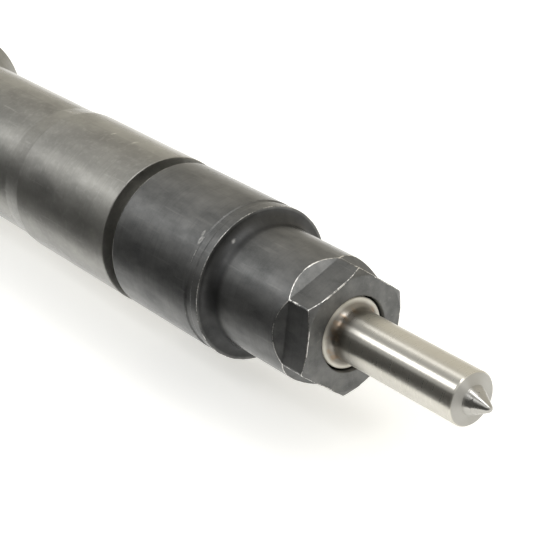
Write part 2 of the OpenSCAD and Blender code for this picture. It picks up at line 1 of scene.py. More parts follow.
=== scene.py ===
# %% [markdown]
# # A common-rail fuel injector, from bare steel to black plastic
#
# A fuel injector is almost all turned steel, so this lesson is mostly about metal: ground, phosphated, plated,
# wound and cast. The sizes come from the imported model, which is loaded first and is never moved or changed.
# Where a piece needs rounder edges or finer detail than the model has, a new mesh is made in the same place.

# %% Load the model
import json
import math
import random

import bmesh
import bpy
from mathutils import Matrix, Vector


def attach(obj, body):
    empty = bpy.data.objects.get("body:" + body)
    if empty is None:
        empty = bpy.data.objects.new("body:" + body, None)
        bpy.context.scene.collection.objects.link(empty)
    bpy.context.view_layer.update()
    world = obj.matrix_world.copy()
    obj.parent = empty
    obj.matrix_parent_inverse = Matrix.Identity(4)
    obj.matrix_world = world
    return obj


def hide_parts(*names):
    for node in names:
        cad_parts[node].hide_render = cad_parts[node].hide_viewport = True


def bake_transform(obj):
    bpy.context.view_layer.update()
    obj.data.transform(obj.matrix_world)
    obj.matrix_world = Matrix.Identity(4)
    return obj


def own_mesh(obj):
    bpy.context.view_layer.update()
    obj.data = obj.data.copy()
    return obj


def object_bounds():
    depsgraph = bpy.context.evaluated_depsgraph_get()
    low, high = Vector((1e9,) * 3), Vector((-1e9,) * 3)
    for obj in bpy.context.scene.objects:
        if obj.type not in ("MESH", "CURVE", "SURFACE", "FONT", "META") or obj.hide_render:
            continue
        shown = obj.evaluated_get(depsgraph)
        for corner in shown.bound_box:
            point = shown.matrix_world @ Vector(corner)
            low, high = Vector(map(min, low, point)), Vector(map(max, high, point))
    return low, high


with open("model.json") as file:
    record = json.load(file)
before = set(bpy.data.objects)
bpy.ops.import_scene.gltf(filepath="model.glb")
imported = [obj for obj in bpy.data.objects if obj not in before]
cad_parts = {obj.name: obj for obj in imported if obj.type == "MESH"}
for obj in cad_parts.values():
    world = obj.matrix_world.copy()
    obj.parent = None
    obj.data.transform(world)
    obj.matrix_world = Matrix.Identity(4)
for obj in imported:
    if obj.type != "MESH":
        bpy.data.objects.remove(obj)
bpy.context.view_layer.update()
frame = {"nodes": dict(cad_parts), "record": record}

nodes = frame["nodes"]
MM = 0.001
print("pieces loaded:", len(nodes))

# %% [markdown]
# ## Two small helpers
#
# Colours are written as sRGB hex, the way a colour picker shows them, but shaders work in linear light, so one
# function turns hex to linear. Every node is added by one function too: it takes the kind of node, what its
# inputs are or are linked to, and its settings, and gives back the output that the next node needs.

# %% Helpers for colours and nodes
def colour(hex_code):
    """An sRGB hex colour as linear red, green, blue and alpha."""
    channels = [int(hex_code[i:i + 2], 16) / 255 for i in (1, 3, 5)]
    return [c / 12.92 if c <= 0.04045 else ((c + 0.055) / 1.055) ** 2.4 for c in channels] + [1.0]


def add(tree, kind, *values, named=(), out=0, **settings):
    """Adds a node and returns one of its outputs.

    values go into its inputs in order, and named holds pairs of an input's name or number and its value. A value is
    a number, a hex colour or the output that feeds the input, and None leaves the input alone. settings are the
    node's own, and out picks the output.
    """
    node = tree.nodes.new("ShaderNode" + kind)
    for name, value in settings.items():
        setattr(node, name, value)
    for name, value in (*enumerate(values), *named):
        if isinstance(value, str):
            value = colour(value)
        if isinstance(value, bpy.types.NodeSocket):
            tree.links.new(value, node.inputs[name])
        elif value is not None:
            node.inputs[name].default_value = value
    return node.outputs[out] if node.outputs else node


# A Mix node keeps its two colours in inputs 6 and 7, and gives the mixed colour in output 2.
FIRST, SECOND = 6, 7
AS_COLOUR = {"data_type": "RGBA", "out": 2}
print("steel grey in linear light:", [round(c, 3) for c in colour("#8f8e88")])

# %% [markdown]
# ## Where things are
#
# All the round pieces share one axis, which is the X axis here, so a point's distance along the injector is its
# x, and its distance from the axis comes from y and z. Finishes such as turning marks and worn edges follow
# those two distances. A small set of nodes works them out once for each material that needs them.

# %% Distances along and from the axis, as nodes
def millimetres(tree):
    """The place of a point in millimetres, in the object's own frame."""
    place = add(tree, "TexCoord", out="Object")
    return add(tree, "VectorMath", place, named=[("Scale", 1 / MM)], operation="SCALE")


def along_and_out(tree, place):
    """The distance along the axis, towards the tip, and the distance from the axis."""
    along = add(tree, "SeparateXYZ", place, out="X")
    across = add(tree, "CombineXYZ", None, along.node.outputs["Y"], along.node.outputs["Z"])
    return along, add(tree, "VectorMath", across, operation="LENGTH", out="Value")


def tool_marks(tree, place, pitch, around, roughness=0.5):
    """Rings that a tool leaves: they change quickly along the axis and slowly around it."""
    stretched = add(tree, "VectorMath", place, (1 / pitch, around, around), operation="MULTIPLY")
    return add(tree, "TexNoise", stretched, None, 1.0, 2.0, roughness)


def clouds_along(tree, place, stretch, spots_each_mm, detail, roughness):
    """Soft patches that are longer along the axis."""
    stretched = add(tree, "VectorMath", place, (stretch, 1.0, 1.0), operation="MULTIPLY")
    return add(tree, "TexNoise", stretched, None, spots_each_mm, detail, roughness)


print("places are measured in units of", MM, "m")

# %% [markdown]
# ## One shader for every finish
#
# Every finish here is one Principled shader with its own nodes for colour, roughness and bump. A finish is given
# as up to three small functions that build those nodes, or as plain values.

# %% The shader and what all finishes share
def surface(name, metallic, roughness, base, normal=None, **plain):
    """A new material with one Principled shader. base and roughness are values or make(tree) functions."""
    material = bpy.data.materials.new(name)
    material.use_nodes = True
    tree = material.node_tree
    tree.nodes.clear()
    shader = add(tree, "BsdfPrincipled", named=[("Metallic", metallic)])
    inputs = shader.node.inputs
    for socket, maker in (("Base Color", base), ("Roughness", roughness), ("Normal", normal)):
        value = maker(tree) if callable(maker) else maker
        if isinstance(value, bpy.types.NodeSocket):
            tree.links.new(value, inputs[socket])
        elif value is not None:
            inputs[socket].default_value = colour(value) if isinstance(value, str) else value
    for socket, value in plain.items():
        inputs[socket.replace("_", " ")].default_value = value
    add(tree, "OutputMaterial", shader)
    return material


def flatter(tree, roughness, least):
    """Roughness as it looks from a flat angle: any rough surface turns mirror-like there."""
    facing = add(tree, "LayerWeight", 0.5, out="Facing")
    share = add(tree, "MapRange", facing, 0.45, 0.95, 1.0, least, interpolation_type="SMOOTHSTEP")
    return add(tree, "Math", roughness, share, operation="MULTIPLY")


def rubbed_edges(tree, place, radius_mm):
    """1 on edges that stand proud, 0 elsewhere, for pieces whose mesh has no wear value."""
    rounded = add(tree, "Bevel", radius_mm * MM, samples=6)
    sharp = add(tree, "NewGeometry", out="Normal")
    alike = add(tree, "VectorMath", rounded, sharp, operation="DOT_PRODUCT", out="Value")
    uneven = add(tree, "TexNoise", place, None, 1.3, 4.0, 0.7)
    limit = add(tree, "MapRange", uneven, 0.3, 0.7, 0.995, 0.9)
    past = add(tree, "Math", limit, alike, operation="SUBTRACT")
    return add(tree, "MapRange", past, 0.0, 0.04)


def scratches(tree, place, turn):
    """Thin straight marks, along one direction given as turns about the three axes."""
    turned = add(tree, "Mapping", place, None, turn, (0.1, 1.6, 1.6))
    marks = add(tree, "TexNoise", turned, None, 1.0, 2.0, 0.5)
    return add(tree, "MapRange", marks, 0.66, 0.72)


def scuffs(tree, place, spots):
    """Small rubbed spots, each given as its place in millimetres and its size."""
    total = 0.0
    streaky = add(tree, "VectorMath", place, (4.0, 1.0, 1.0), operation="MULTIPLY")
    ragged = add(tree, "TexNoise", streaky, None, 1.4, 3.0, 0.6)
    for centre, size in spots:
        offset = add(tree, "VectorMath", place, centre, operation="SUBTRACT")
        narrow = add(tree, "VectorMath", offset, (2.2, 1.0, 1.0), operation="MULTIPLY")
        away = add(tree, "VectorMath", narrow, operation="LENGTH", out="Value")
        near = add(tree, "MapRange", away, size, 0.2 * size)
        patchy = add(tree, "MapRange", ragged, 0.4, 0.65, 0.1, 0.9)
        spot = add(tree, "Math", near, patchy, operation="MULTIPLY")
        total = add(tree, "Math", total, spot, operation="MAXIMUM")
    return total


print("helpers ready")

# %% [markdown]
# ## Ground tool steel: the nozzle
#
# A nozzle is hardened tool steel, ground on a cylindrical grinder. Grinding leaves marks that run around the
# shaft, a few hundredths of a millimetre apart. They blur a highlight along the shaft, but leave its sides crisp,
# which is why the anisotropy is high. Marks that fine don't show from here, so they are drawn about 0.1 mm apart.
# The fillet behind the shaft and the shaft's root are painted darker, as painted shade for the shade and
# dark reflections in that cove, and heat has left a faint straw tint there and on the collar. The end face is
# turned, so it is rougher than the shaft. It is also painted a little greyer, as painted shade for the darker
# surroundings it reflects.

# %% Ground steel
GRIND_PITCH = 0.1
# Each pair is where a zone starts to show and where it shows fully, in millimetres along or out from the axis.
END_FACE = (20.5, 20.6)
BEFORE_CONE = (21.2, 21.1)
WITHIN_FACE = (3.4, 3.3)
FILLET = (2.6, 1.2)
FILLET_ROOT = (1.6, 0.4)
WITHIN_COLLAR = (4.4, 4.0)
COLLAR_FRONT = (0.2, -0.3)


def ground_steel():
    def base(tree):
        place = millimetres(tree)
        along, out = along_and_out(tree, place)
        clouds = clouds_along(tree, place, 0.35, 0.7, 3.0, 0.5)
        cloudy = add(tree, "MapRange", clouds, 0.35, 0.7)
        steel = add(tree, "Mix", cloudy, named=[(FIRST, "#d6d3cb"), (SECOND, "#cfccc3")], **AS_COLOUR)
        fine = tool_marks(tree, place, GRIND_PITCH, 0.4)
        marks = add(tree, "MapRange", fine, 0.45, 0.75, 0.0, 0.12)
        steel = add(tree, "Mix", marks, named=[(FIRST, steel), (SECOND, "#b5b0a6")], **AS_COLOUR)
        # Painted shade: the end face is painted a little greyer, for the darker surroundings it reflects.
        end_face_painted_shade = add(tree, "Math", add(tree, "MapRange", along, *END_FACE),
                         add(tree, "MapRange", out, *WITHIN_FACE), operation="MULTIPLY")
        share = add(tree, "Math", end_face_painted_shade, 0.8, operation="MULTIPLY")
        steel = add(tree, "Mix", share, named=[(FIRST, steel), (SECOND, "#acaba8")], **AS_COLOUR)
        # Painted shade: the shaft's root and the fillet behind it are darkened for the shade and dark reflections in
        # that cove.
        cove_painted_shade = add(tree, "Math", add(tree, "MapRange", along, *FILLET, interpolation_type="SMOOTHSTEP"),
                       add(tree, "MapRange", out, *WITHIN_COLLAR), operation="MULTIPLY")
        share = add(tree, "Math", cove_painted_shade, 0.75, operation="MULTIPLY")
        steel = add(tree, "Mix", share, named=[(FIRST, steel), (SECOND, "#77716a")], **AS_COLOUR)
        root = add(tree, "Math", add(tree, "MapRange", along, *FILLET_ROOT, interpolation_type="SMOOTHSTEP"),
                   add(tree, "MapRange", out, *WITHIN_COLLAR), operation="MULTIPLY")
        straw = add(tree, "Math", root, add(tree, "MapRange", clouds, 0.5, 0.62, 0.0, 0.5), operation="MULTIPLY")
        return add(tree, "Mix", straw, named=[(FIRST, steel), (SECOND, "#a3876a")], **AS_COLOUR)

    def roughness(tree):
        place = millimetres(tree)
        along, out = along_and_out(tree, place)
        fine = tool_marks(tree, place, GRIND_PITCH, 0.4)
        ground = add(tree, "MapRange", fine, 0.3, 0.7, 0.27, 0.31)
        turned = add(tree, "MapRange", along, *COLLAR_FRONT, 0.0, 0.2)
        end_face = add(tree, "Math", add(tree, "MapRange", along, *END_FACE),
                       add(tree, "MapRange", along, *BEFORE_CONE), operation="MULTIPLY")
        rougher = add(tree, "Math", end_face, 0.2, operation="MULTIPLY")
        ground = add(tree, "Math", ground, rougher, operation="ADD")
        return add(tree, "Math", ground, turned, operation="ADD")

    def normal(tree):
        fine = tool_marks(tree, millimetres(tree), GRIND_PITCH, 0.25)
        return add(tree, "Bump", 0.12, 0.003 * MM, named=[("Height", fine)])

    material = surface("ground_tool_steel", 1.0, roughness, base, normal, Anisotropic=0.85, Anisotropic_Rotation=0.25)
    tree = material.node_tree
    shader = next(node for node in tree.nodes if node.type == "BSDF_PRINCIPLED")
    around = add(tree, "Tangent", direction_type="RADIAL", axis="X")
    tree.links.new(around, shader.inputs["Tangent"])
    return material


print("the nozzle's grinding marks are", GRIND_PITCH, "mm apart")

# %% [markdown]
# ## Manganese phosphate: the nozzle nut
#
# The nut is carbon steel, turned and milled, then dipped in hot manganese phosphate and oiled. The coat is a
# layer of dark crystals: nearly black, soft in its highlights, blotchy where the oil has dried, and thin on the
# edges, where handling has rubbed it back to bright steel. The wear is stored on the mesh as a value called
# wear, which is 1 along the edges. Noise then breaks it up, so that no edge is worn evenly. The cove and the
# shoulder's face are painted darker: this is painted shade, for the shade that falls in that corner.

# %% Phosphated steel
TURNING_PITCH = 0.3
# Where the cove and the shoulder's face get painted shade, as distances along the axis and out from it.
COVE_PAINTED_SHADE = ((-15.9, -17.0), (10.5, 10.2))


def phosphate(name, dark, light, worn, roughness_low, roughness_high, spots=(), bevelled=True, painted_shade_zone=None):
    """Phosphated steel. bevelled is for a mesh with a wear value, and the last argument marks where painted shade
    goes.
    """
    def base(tree):
        place = millimetres(tree)
        blotches = clouds_along(tree, place, 0.5, 0.35, 5.0, 0.6)
        share = add(tree, "MapRange", blotches, 0.3, 0.72)
        coat = add(tree, "Mix", share, named=[(FIRST, dark), (SECOND, light)], **AS_COLOUR)
        crystals = add(tree, "TexNoise", place, None, 7.0, 3.0, 0.65)
        share = add(tree, "MapRange", crystals, 0.35, 0.7, 0.0, 0.3)
        coat = add(tree, "Mix", share, named=[(FIRST, coat), (SECOND, light)], **AS_COLOUR)
        turning = tool_marks(tree, place, TURNING_PITCH, 0.12, 0.6)
        share = add(tree, "MapRange", turning, 0.5, 0.8, 0.0, 0.35)
        coat = add(tree, "Mix", share, named=[(FIRST, coat), (SECOND, dark)], **AS_COLOUR)
        marks = add(tree, "Math", scratches(tree, place, (0.4, 0.9, 0.5)), scratches(tree, place, (0.2, -0.6, 1.1)),
                    operation="MAXIMUM")
        share = add(tree, "Math", marks, 0.12, operation="MULTIPLY")
        coat = add(tree, "Mix", share, named=[(FIRST, coat), (SECOND, "#a6a5a2")], **AS_COLOUR)
        if painted_shade_zone:
            # Painted shade: the cove and the shoulder's face are darkened, for the shade that falls in that corner.
            along, out = along_and_out(tree, place)
            corner = add(tree, "Math",
                         add(tree, "MapRange", along, *painted_shade_zone[0], interpolation_type="SMOOTHSTEP"),
                         add(tree, "MapRange", out, *painted_shade_zone[1]), operation="MULTIPLY")
            share = add(tree, "Math", corner, 0.7, operation="MULTIPLY")
            coat = add(tree, "Mix", share, named=[(FIRST, coat), (SECOND, "#2f2f30")], **AS_COLOUR)
        worn_here = wear_mask(tree, place) if bevelled else rubbed_edges(tree, place, 0.25)
        bare = add(tree, "Math", worn_here, scuffs(tree, place, spots), operation="MAXIMUM")
        return add(tree, "Mix", bare, named=[(FIRST, coat), (SECOND, worn)], **AS_COLOUR)

    def roughness(tree):
        place = millimetres(tree)
        patches = add(tree, "TexNoise", place, None, 0.6, 4.0, 0.6)
        coat = flatter(tree, add(tree, "MapRange", patches, 0.3, 0.7, roughness_low, roughness_high), 0.5)
        smoother = add(tree, "Math", wear_mask(tree, place), 0.15, operation="MULTIPLY")
        return add(tree, "Math", coat, smoother, operation="SUBTRACT")

    def normal(tree):
        place = millimetres(tree)
        crystals = add(tree, "TexNoise", place, None, 9.0, 3.0, 0.6)
        rings = tool_marks(tree, place, TURNING_PITCH, 0.1, 0.6)
        rough = add(tree, "Bump", 0.3, 0.014 * MM, named=[("Height", crystals)])
        return add(tree, "Bump", 0.3, 0.01 * MM, named=[("Height", rings), ("Normal", rough)])

    return surface(name, 1.0, roughness, base, normal)


def wear_mask(tree, place):
    """How far the coat is rubbed through: the mesh's wear value, broken up by noise."""
    worn = add(tree, "Attribute", attribute_name="wear", out="Fac")
    uneven = add(tree, "TexNoise", place, None, 0.55, 3.0, 0.7)
    fine = add(tree, "TexNoise", place, None, 5.0, 2.0, 0.6)
    reach = add(tree, "Math", add(tree, "MapRange", uneven, 0.35, 0.65, 1.0, 0.45),
                add(tree, "MapRange", fine, 0.3, 0.7, 0.2, -0.25), operation="ADD")
    edge = add(tree, "Math", worn, reach, operation="SUBTRACT")
    return add(tree, "MapRange", edge, 0.0, 0.35)


print("made the phosphate finish")

# %% [markdown]
# ## The other finishes
#
# The rest are common shop finishes. Each function says what it is and how it is made. Pitches and grain sizes are
# in millimetres, and the other noise scales are in spots for each millimetre. The body's turning marks are drawn
# 0.25 mm apart, which is a usual feed for a lathe.

# %% Plated, drawn, wound, moulded
BODY_PITCH = 0.25


def plain_steel(name, light, dark, roughness_low, roughness_high, pitch=0.15):
    """Turned metal: fine rings around the axis and a little cloudiness."""
    def base(tree):
        place = millimetres(tree)
        share = add(tree, "MapRange", add(tree, "TexNoise", place, None, 0.4, 4.0, 0.6), 0.35, 0.7)
        steel = add(tree, "Mix", share, named=[(FIRST, light), (SECOND, dark)], **AS_COLOUR)
        share = add(tree, "MapRange", tool_marks(tree, place, pitch, 0.15), 0.5, 0.8, 0.0, 0.4)
        return add(tree, "Mix", share, named=[(FIRST, steel), (SECOND, dark)], **AS_COLOUR)

    def roughness(tree):
        patches = add(tree, "TexNoise", millimetres(tree), None, 0.8, 3.0, 0.5)
        return add(tree, "MapRange", patches, 0.3, 0.7, roughness_low, roughness_high)

    def normal(tree):
        rings = tool_marks(tree, millimetres(tree), pitch, 0.15)
        return add(tree, "Bump", 0.3, 0.006 * MM, named=[("Height", rings)])

    return surface(name, 1.0, roughness, base, normal)


def body_steel():
    """Alloy steel bar, turned, hardened and oiled: a warm satin grey, with stains left by the heat treatment."""
    def base(tree):
        place = millimetres(tree)
        stains = clouds_along(tree, place, 0.45, 0.18, 6.0, 0.62)
        share = add(tree, "MapRange", stains, 0.32, 0.68)
        steel = add(tree, "Mix", share, named=[(FIRST, "#a3a29d"), (SECOND, "#82817e")], **AS_COLOUR)
        small = add(tree, "TexNoise", place, None, 1.3, 4.0, 0.6)
        share = add(tree, "MapRange", small, 0.5, 0.75, 0.0, 0.35)
        steel = add(tree, "Mix", share, named=[(FIRST, steel), (SECOND, "#b6b5b0")], **AS_COLOUR)
        share = add(tree, "MapRange", tool_marks(tree, place, BODY_PITCH, 0.08), 0.5, 0.8, 0.0, 0.25)
        steel = add(tree, "Mix", share, named=[(FIRST, steel), (SECOND, "#7b7a76")], **AS_COLOUR)
        marks = add(tree, "Math", scratches(tree, place, (0.3, 1.2, 0.3)), 0.12, operation="MULTIPLY")
        bare = add(tree, "Math", marks, scuffs(tree, place, BODY_SCUFFS), operation="MAXIMUM")
        return add(tree, "Mix", bare, named=[(FIRST, steel), (SECOND, "#e9e7e0")], **AS_COLOUR)

    def roughness(tree):
        patches = clouds_along(tree, millimetres(tree), 0.5, 0.3, 5.0, 0.6)
        return flatter(tree, add(tree, "MapRange", patches, 0.3, 0.7, 0.4, 0.5), 0.5)

    def normal(tree):
        place = millimetres(tree)
        rings = tool_marks(tree, place, BODY_PITCH, 0.08)
        grain = add(tree, "TexNoise", place, None, 6.0, 3.0, 0.6)
        rough = add(tree, "Bump", 0.15, 0.012 * MM, named=[("Height", grain)])
        return add(tree, "Bump", 0.2, 0.008 * MM, named=[("Height", rings), ("Normal", rough)])

    return surface("satin_alloy_steel", 1.0, roughness, base, normal)


def moulded(name, light, dark, roughness, grain_size, depth):
    """Plastic or rubber from a spark-eroded mould, which gives it a fine even grain."""
    def base(tree):
        patches = add(tree, "TexNoise", millimetres(tree), None, 0.5, 4.0, 0.5)
        share = add(tree, "MapRange", patches, 0.35, 0.7)
        return add(tree, "Mix", share, named=[(FIRST, dark), (SECOND, light)], **AS_COLOUR)

    def normal(tree):
        grain = add(tree, "TexNoise", millimetres(tree), None, 1 / grain_size, 2.0, 0.5)
        return add(tree, "Bump", 0.5, depth * MM, named=[("Height", grain)])

    def rough(tree):
        patches = add(tree, "TexNoise", millimetres(tree), None, 1.2, 3.0, 0.5)
        return add(tree, "MapRange", patches, 0.3, 0.7, roughness - 0.05, roughness + 0.05)

    return surface(name, 0.0, rough, base, normal, IOR=1.5)


def on_round(u, radius, angle_deg):
    """A place on a round surface, in millimetres."""
    angle = math.radians(angle_deg)
    return (-u, radius * math.sin(angle), radius * math.cos(angle))


NUT_SCUFFS = [(on_round(21.5, 10.66, -41), 0.55), (on_round(21.2, 10.66, -46), 0.75), (on_round(17.7, 9.6, -33), 0.7)]
BODY_SCUFFS = [(on_round(47.5, 10.74, 2), 0.8), (on_round(52.3, 10.74, 0), 0.6)]

finishes = {
    "ground_steel": ground_steel(),
    "black_steel": phosphate(
        "manganese_phosphate", "#575858", "#7d7d7c", "#e0deda", 0.42, 0.52, NUT_SCUFFS, painted_shade_zone=COVE_PAINTED_SHADE),
    "grey_steel": body_steel(),
    # Lapped after hardening, so it is bright and smooth.
    "hard_steel": plain_steel("hardened_steel", "#c9c7c2", "#a5a39d", 0.2, 0.3),
    # Drawn through a die and then blued by stress relief: darker, with a soft shine.
    "spring_steel": plain_steel("drawn_spring_wire", "#a3a19c", "#7d7b77", 0.28, 0.4),
    # Plated in a bath over turned steel, so the tool marks still show under a pale, slightly yellow shine.
    "zinc_steel": plain_steel("zinc_plated_steel", "#cfcec6", "#b3b2a8", 0.25, 0.38),
    # Pressed from iron powder, with no polishing: dull and grey.
    "soft_iron": plain_steel("soft_magnet_iron", "#8f8d88", "#716f6b", 0.4, 0.55),
    # Stamped and dipped: a white, bright coat.
    "tinned_brass": plain_steel("tinned_brass", "#dcd9cf", "#c2bfb3", 0.2, 0.32),
    # Turned and left bare.
    "bronze": plain_steel("turned_bronze", "#c9a468", "#a98449", 0.25, 0.38),
    # Drawn wire under clear enamel, wound with a pitch of 0.3 mm.
    "copper_wire": plain_steel("enamelled_copper", "#c87b45", "#93522a", 0.25, 0.35, pitch=0.3),
    # Moulded in a spark-eroded tool, which leaves a fine grain.
    "black_plastic": moulded("glass_filled_nylon", "#2b2c2e", "#1f2022", 0.42, 0.12, 0.02),
    # Moulded in a ground tool, and oiled.
    "black_rubber": moulded("nitrile_rubber", "#1c1c1c", "#151515", 0.5, 0.2, 0.01),
    # Sintered with bronze powder and turned.
    "seal_plastic": moulded("filled_ptfe", "#6b5338", "#523e29", 0.4, 0.2, 0.01),
}
# The solenoid nut has the same coat, but its mesh has no wear value, so a Bevel node finds its edges.
rubbed = phosphate("rubbed_phosphate", "#5d5e5e", "#7b7b7a", "#cfccc5", 0.4, 0.5, bevelled=False)
slot_of = {part["node"]: part["material_slot"] for part in frame["record"]["subparts"]}
for name, piece in nodes.items():
    piece.data.materials.clear()
    piece.data.materials.append(rubbed if name == "solenoid_nut" else finishes[slot_of[name]])
print("finishes:", len(finishes))

# %% [markdown]
# ## Building turned pieces with flats
#
# A lathe and a milling machine leave edges that are a few hundredths of a millimetre round, and those edges catch
# the light. So each piece below is drawn as a section: a list of corners, each with its distance from the axis,
# its place along it and how worn it is. Marked corners are cut back a little on both sides, with one more row
# beyond each cut, so that the shading bends only at the edge and the faces stay flat. The section is then
# repeated around the axis, and it may change with the angle, which is how flats and threads are made.

# %% Helpers for building meshes
EDGE = 0.045
EDGE_SUPPORT = 0.15


def soften(corners):
    """Cuts back the marked corners of a closed section. A corner is (r, u, wear), and wear None leaves it sharp."""
    rows = []
    for i, (r, u, wear) in enumerate(corners):
        here = Vector((r, u))
        if wear is None:
            rows.append((r, u, 0.0))
            continue
        before = Vector(corners[i - 1][:2]) - here
        after = Vector(corners[(i + 1) % len(corners)][:2]) - here
        for arm, reach, share in ((before, EDGE_SUPPORT, 0.45), (before, EDGE, 0.3),
                                  (after, EDGE, 0.3), (after, EDGE_SUPPORT, 0.45)):
            point = here + arm.normalized() * min(reach, share * arm.length)
            rows.append((point.x, point.y, wear if reach == EDGE else 0.0))
    return rows


def piece_from(name, points, faces, finish, wear=None, body="injector"):
    """A mesh piece from points in millimetres, with its finish and its wear values."""
    mesh = bpy.data.meshes.new(name)
    mesh.from_pydata([Vector(p) * MM for p in points], [], faces)
    work = bmesh.new()
    work.from_mesh(mesh)
    bmesh.ops.recalc_face_normals(work, faces=work.faces)
    work.to_mesh(mesh)
    work.free()
    mesh.shade_smooth()
    if wear:
        mesh.attributes.new("wear", "FLOAT", "POINT").data.foreach_set("value", wear)
    mesh.materials.append(finishes[finish])
    piece = bpy.data.objects.new(name, mesh)
    bpy.context.scene.collection.objects.link(piece)
    if body:
        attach(piece, body)
    print(name, "has", len(mesh.vertices), "points")
    return piece


def ring(name, columns, place, finish):
    """A closed ring. Each column is an angle and a section, and place turns an angle, r and u into a point."""
    rows = len(columns[0][1])
    points = [place(angle, r, u) for angle, section in columns for r, u, wear in section]
    wear = [wear for angle, section in columns for r, u, wear in section]
    faces = []
    for i in range(len(columns)):
        this, after = i * rows, (i + 1) % len(columns) * rows
        for k in range(rows):
            above = (k + 1) % rows
            faces.append((this + k, after + k, after + above, this + above))
    return piece_from(name, points, faces, finish, wear)


def about_injector(angle, r, u):
    """A point at an angle from +Z towards +Y, and at u behind the nut's face."""
    return (-u, r * math.sin(angle), r * math.cos(angle))


def hexagon_angles(step):
    """Angles from the middle of a flat to both its corners, closer together at the corners."""
    return [-30, -29.3, -28, *range(-28 + step, 28, step), 28, 29.3]


print("columns for each flat:", len(hexagon_angles(4)))

# %% [markdown]
# ## The nozzle nut
#
# The nut is turned from bar, with a narrow nose, a cove up to a wide shoulder, and a shallow groove. Then six
# short flats are milled on the nose. A cutter that runs out at 45 degrees leaves the curved edges behind them,
# and the front was chamfered first, so each flat ends in a shallow arc there as well. Handling wears exactly these
# curves, so they carry most of the wear. Each column below is the nut's section at one angle: near the middle of a
# flat it is cut down to the flat, and near a corner it keeps the turned shape.

# %% Nozzle nut
NUT_TURN = 7.1
APOTHEM = 7.5
NOSE_R = 8.6
FACE_R = 7.7
FLAT_END = 4.2
COVE = 1.8
NUT_R = 10.66
SHOULDER = 18.3
GROOVE = (19.6, 20.9, 0.15)
NUT_END = 38.0
REAR_CHAMFER = 0.6
MOUTH_R, MOUTH_END = 5.03, 5.5
POCKET_R, POCKET_END = 7.25, 20
THREAD_BORE_R, THREAD_BORE_START = 9.25, 22
wobble = random.Random(7)


def nut_section(offset_deg):
    """The nut's section at an angle from the middle of the nearest flat."""
    slope = math.cos(math.radians(offset_deg))
    flat_r = min(NOSE_R, APOTHEM / slope)
    nick = [wobble.uniform(0.0, 0.03) for i in range(3)]
    face_r = min(FACE_R, flat_r - 0.06) - nick[0]
    chamfer_end = max((flat_r - FACE_R) * math.tan(math.radians(30)), 0.06) + nick[1]
    flat_end = FLAT_END + max(NOSE_R * slope - APOTHEM, 0.0) + 0.08 + nick[2]
    at_corner = abs(offset_deg) > 29
    face_wear = 1.0 if face_r < FACE_R - 0.05 else 0.2
    cove = [(NOSE_R + COVE * (1 - math.cos(t)), SHOULDER - COVE * (1 - math.sin(t)), None)
            for t in (math.radians(90 * i / 8) for i in range(9))]
    groove_start, groove_end, depth = GROOVE
    rows = soften([
        (MOUTH_R, MOUTH_END, None), (MOUTH_R, 0.12, None), (MOUTH_R + 0.12, 0, 0.3),
        (face_r, 0, face_wear), (flat_r, chamfer_end, 1.3 if at_corner else 1.0),
        (flat_r, FLAT_END, 1.2 if at_corner else 0.2), (NOSE_R, flat_end, 1.0),
        *cove, (NUT_R, SHOULDER, 0.85),
        (NUT_R, groove_start, 0.5), (NUT_R - depth, groove_start + depth, 0.0),
        (NUT_R - depth, groove_end - depth, 0.0), (NUT_R, groove_end, 0.55),
        (NUT_R, NUT_END - REAR_CHAMFER, 0.85), (NUT_R - REAR_CHAMFER, NUT_END, 0.6),
        (THREAD_BORE_R + REAR_CHAMFER, NUT_END, 0.0), (THREAD_BORE_R, NUT_END - REAR_CHAMFER, None),
        (THREAD_BORE_R, THREAD_BORE_START, None), (POCKET_R, POCKET_END, None), (POCKET_R, MOUTH_END, None),
    ])
    if not at_corner:
        return rows
    return [(r, u, max(wear, 0.75) if chamfer_end <= u <= flat_end and r > 7 else wear) for r, u, wear in rows]


nut_columns = [(math.radians(NUT_TURN + 30 + 60 * flat + offset), nut_section(offset))
               for flat in range(6) for offset in hexagon_angles(4)]
nut = ring("worn_nut", nut_columns, about_injector, "black_steel")
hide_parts("retaining_nut")

# %% [markdown]
# ## The fuel inlet
#
# The high-pressure pipe screws on here. The thread is M14 with a pitch of 1.5 mm: it climbs 1.5 mm in each turn,
# and its flanks meet at 60 degrees, so at a fixed angle the section zigzags, and the zigzag moves up by the pitch
# over one turn. The thread fades in over the first and last half turn, as a rolled thread does. The pipe's ball
# end seals in the 60 degree cone in the mouth.

# %% Fuel inlet with its thread
INLET_X = -120.0
PITCH = 1.5
THREAD_R = 7.0
THREAD_DEPTH = 0.92
THREAD = (26.0, 36.0)
STEPS_EACH_TURN = 12
HEX_APOTHEM = 8.5
HEX_CAP_R = 9.2
HEX_TOP = 24.0


def thread_radius(angle, height):
    """The thread's radius at a height, where it zigzags between the crest and the root."""
    turns = height / PITCH - angle / (2 * math.pi)
    zigzag = abs(2 * (turns % 1) - 1)
    flat_topped = min(max(zigzag * 1.3 - 0.12, 0.0), 1.0)
    ends = min(height - THREAD[0], THREAD[1] - height) / (PITCH / 2)
    return THREAD_R - THREAD_DEPTH * (1 - flat_topped * min(max(ends, 0.0), 1.0))


